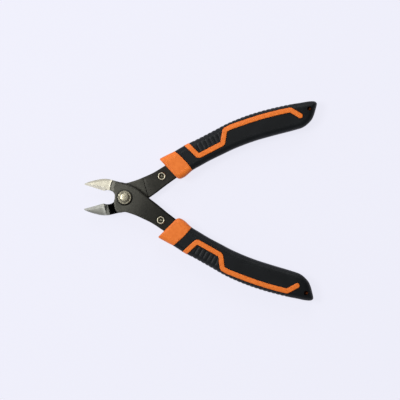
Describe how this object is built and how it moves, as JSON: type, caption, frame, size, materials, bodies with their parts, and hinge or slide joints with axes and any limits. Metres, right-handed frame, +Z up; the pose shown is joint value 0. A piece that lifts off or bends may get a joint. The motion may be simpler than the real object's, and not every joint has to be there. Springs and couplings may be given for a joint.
{
  "type": "diagonal cutting pliers",
  "caption": "Small lap-joint diagonal cutting pliers with ground jaws, a riveted pivot, a concealed return spring and two-colour moulded grips.",
  "frame": {"origin": "middle of the footprint of the open tool, on the surface that the grips lie on", "axes": "+X along the tool's long axis from the jaws to the handle ends, +Y towards the upper handle of the rear half, +Z up, away from the surface, on the side of the rivet's domed head"},
  "size_m": [0.1154, 0.0996, 0.0106],
  "materials": {
    "blackened_steel": "black oxide, fine blasted grain, jaws ground bright",
    "bright_steel": "turned and polished",
    "spring_wire": "drawn wire",
    "orange_plastic": "satin moulded",
    "black_overmould": "matt moulded with fine ribs"
  },
  "bodies": {
    "front_half": {"front_lever": "blackened_steel", "front_tang_plate": "blackened_steel", "front_shank_rivet": "bright_steel", "front_grip_core": "orange_plastic", "front_grip_shell": "black_overmould", "pivot_rivet": "bright_steel", "return_spring": "spring_wire"},
    "rear_half": {"rear_lever": "blackened_steel", "rear_tang_plate": "blackened_steel", "rear_shank_rivet": "bright_steel", "rear_grip_core": "orange_plastic", "rear_grip_shell": "black_overmould"}
  },
  "joints": [
    {"name": "handle_pivot", "type": "hinge", "parent": "front_half", "child": "rear_half", "pos_m": [-0.03739, 0, 0.0053], "axis": [0, 0, -1], "range_deg": [-8, 33], "stiffness_Nm_per_rad": 0.19, "deforming": ["return_spring"]}
  ]
}
